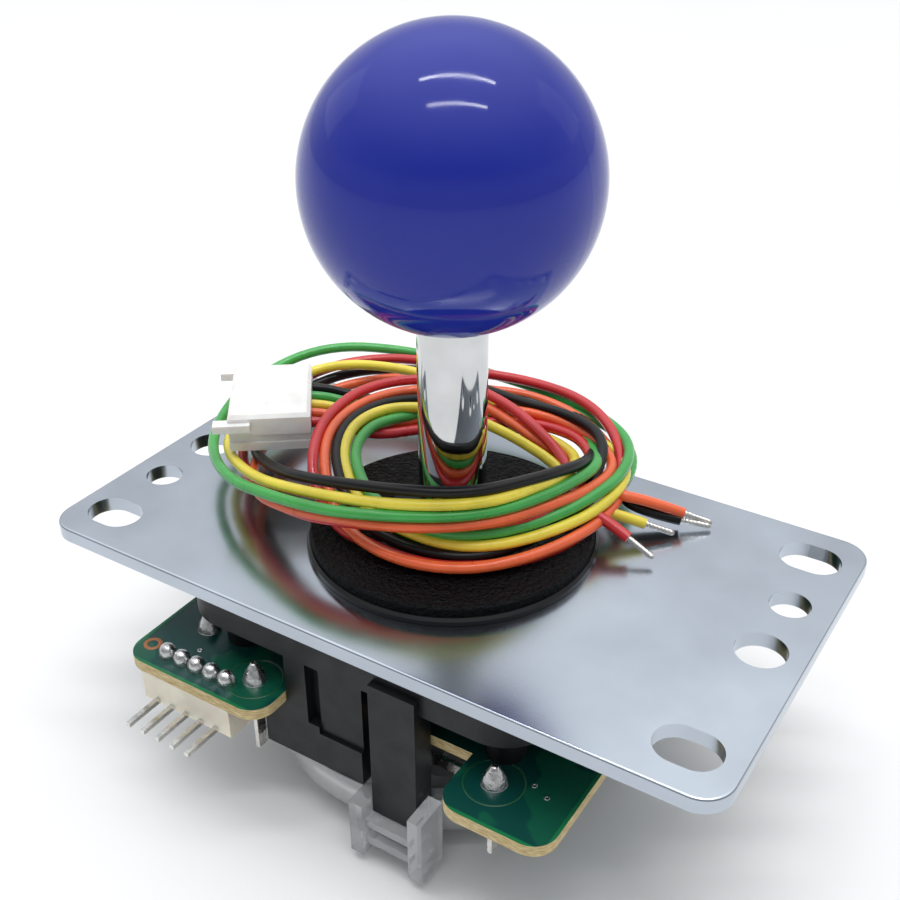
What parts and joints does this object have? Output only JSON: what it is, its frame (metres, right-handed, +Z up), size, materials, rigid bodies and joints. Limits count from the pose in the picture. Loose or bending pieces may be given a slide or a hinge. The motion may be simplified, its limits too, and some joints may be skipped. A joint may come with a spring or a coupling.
{
  "type": "arcade joystick lever",
  "caption": "Panel-mount arcade joystick lever: ball top on a chromed shaft, dust covers, steel plate, switch board, clear restrictor gate and a coiled lead with a plug",
  "frame": {"origin": "centre of the slotted bolt pattern, on the lever's axis at the top face of the mounting plate", "axes": "+X along the plate's long side, +Z up along the upright lever towards the ball, -Y towards the side with the connector and the visible leg of the housing"},
  "size_m": [0.097, 0.0693, 0.0977],
  "materials": {
    "plate_zinc": "bright zinc plate, satin",
    "bright_steel": "bright, lightly brushed",
    "spring_steel": "drawn spring steel",
    "shaft_chrome": "polished chrome",
    "brass": "turned",
    "tinned_copper": "tinned, satin",
    "solder": "bright solder",
    "housing_black": "fine moulded texture",
    "actuator_black": "smooth, semi matte",
    "switch_black": "smooth, semi matte",
    "plunger_red": "smooth",
    "natural_nylon": "natural nylon, satin",
    "ball_blue": "high gloss",
    "ring_black": "smooth, glossy",
    "disc_black": "coarse grained band, smooth inside",
    "board_green": "solder mask over copper tracks",
    "gate_clear": "smoky clear polycarbonate",
    "dial_clear": "smoky clear polycarbonate",
    "plug_white": "white nylon, semi gloss",
    "coil_mixed": "five coloured wires together",
    "wire_orange": "soft PVC",
    "wire_green": "soft PVC",
    "wire_black": "soft PVC",
    "wire_red": "soft PVC",
    "wire_yellow": "soft PVC"
  },
  "bodies": {
    "frame": {"mounting_plate": "plate_zinc", "plate_screws": "bright_steel", "housing": "housing_black", "circuit_board": "board_green", "switch_case_front": "switch_black", "switch_terminals_front": "tinned_copper", "switch_case_right": "switch_black", "switch_terminals_right": "tinned_copper", "switch_case_back": "switch_black", "switch_terminals_back": "tinned_copper", "switch_case_left": "switch_black", "switch_terminals_left": "tinned_copper", "header_pins": "tinned_copper", "header_housing": "natural_nylon", "solder_joints": "solder", "restrictor_gate": "gate_clear", "gate_dial": "dial_clear", "plug_housing": "plug_white", "plug_terminals": "tinned_copper", "wire_coil": "coil_mixed", "lead_orange": "wire_orange", "lead_green": "wire_green", "lead_black": "wire_black", "lead_red": "wire_red", "lead_yellow": "wire_yellow", "tail_orange": "wire_orange", "tail_green": "wire_green", "tail_black": "wire_black", "tail_red": "wire_red", "tail_yellow": "wire_yellow", "tinned_ends": "tinned_copper"},
    "spring_carrier": {"upper_spring_seat": "natural_nylon", "spring": "spring_steel"},
    "lever": {"pivot": "natural_nylon", "actuator": "actuator_black", "washer": "bright_steel"},
    "stick": {"shaft": "shaft_chrome", "e_clip": "spring_steel", "ball_insert": "brass", "ball_top": "ball_blue"},
    "lower_dust_cover": {"dust_ring": "ring_black"},
    "upper_dust_cover": {"dust_disc": "disc_black"},
    "plunger_front": {"switch_plunger_front": "plunger_red"},
    "plunger_right": {"switch_plunger_right": "plunger_red"},
    "plunger_back": {"switch_plunger_back": "plunger_red"},
    "plunger_left": {"switch_plunger_left": "plunger_red"}
  },
  "joints": [
    {"name": "tilt_front_back", "type": "hinge", "parent": "frame", "child": "spring_carrier", "pos_m": [0, 0, -0.007], "axis": [-1, 0, 0], "range_deg": [-9, 9], "stiffness_Nm_per_rad": 0.5},
    {"name": "tilt_left_right", "type": "hinge", "parent": "spring_carrier", "child": "lever", "pos_m": [0, 0, -0.007], "axis": [0, 1, 0], "range_deg": [-9, 9], "stiffness_Nm_per_rad": 0.5, "deforming": ["spring"]},
    {"name": "stick_spin", "type": "hinge", "parent": "lever", "child": "stick", "pos_m": [0, 0, -0.007], "axis": [0, 0, 1], "continuous": true},
    {"name": "lower_cover_slide", "type": "slide", "parent": "frame", "child": "lower_dust_cover", "axis": [1, 0, 0], "range_m": [-0.0014, 0.0014]},
    {"name": "upper_cover_slide", "type": "slide", "parent": "lower_dust_cover", "child": "upper_dust_cover", "axis": [0, 1, 0], "range_m": [-0.0014, 0.0014]},
    {"name": "plunger_front_slide", "type": "slide", "parent": "frame", "child": "plunger_front", "axis": [0, 1, 0], "range_m": [-0.0006, 0.0006]},
    {"name": "plunger_right_slide", "type": "slide", "parent": "frame", "child": "plunger_right", "axis": [1, 0, 0], "range_m": [-0.0006, 0.0006]},
    {"name": "plunger_back_slide", "type": "slide", "parent": "frame", "child": "plunger_back", "axis": [0, 1, 0], "range_m": [-0.0006, 0.0006]},
    {"name": "plunger_left_slide", "type": "slide", "parent": "frame", "child": "plunger_left", "axis": [1, 0, 0], "range_m": [-0.0006, 0.0006]}
  ],
  "couplings": [
    {"joint": "lower_cover_slide", "follows": "tilt_left_right", "m_per_rad": 0.00877},
    {"joint": "upper_cover_slide", "follows": "tilt_front_back", "m_per_rad": 0.00877},
    {"joint": "plunger_front_slide", "follows": "tilt_front_back", "m_per_rad": -0.0038},
    {"joint": "plunger_right_slide", "follows": "tilt_left_right", "m_per_rad": -0.0038},
    {"joint": "plunger_back_slide", "follows": "tilt_front_back", "m_per_rad": -0.0038},
    {"joint": "plunger_left_slide", "follows": "tilt_left_right", "m_per_rad": -0.0038}
  ]
}
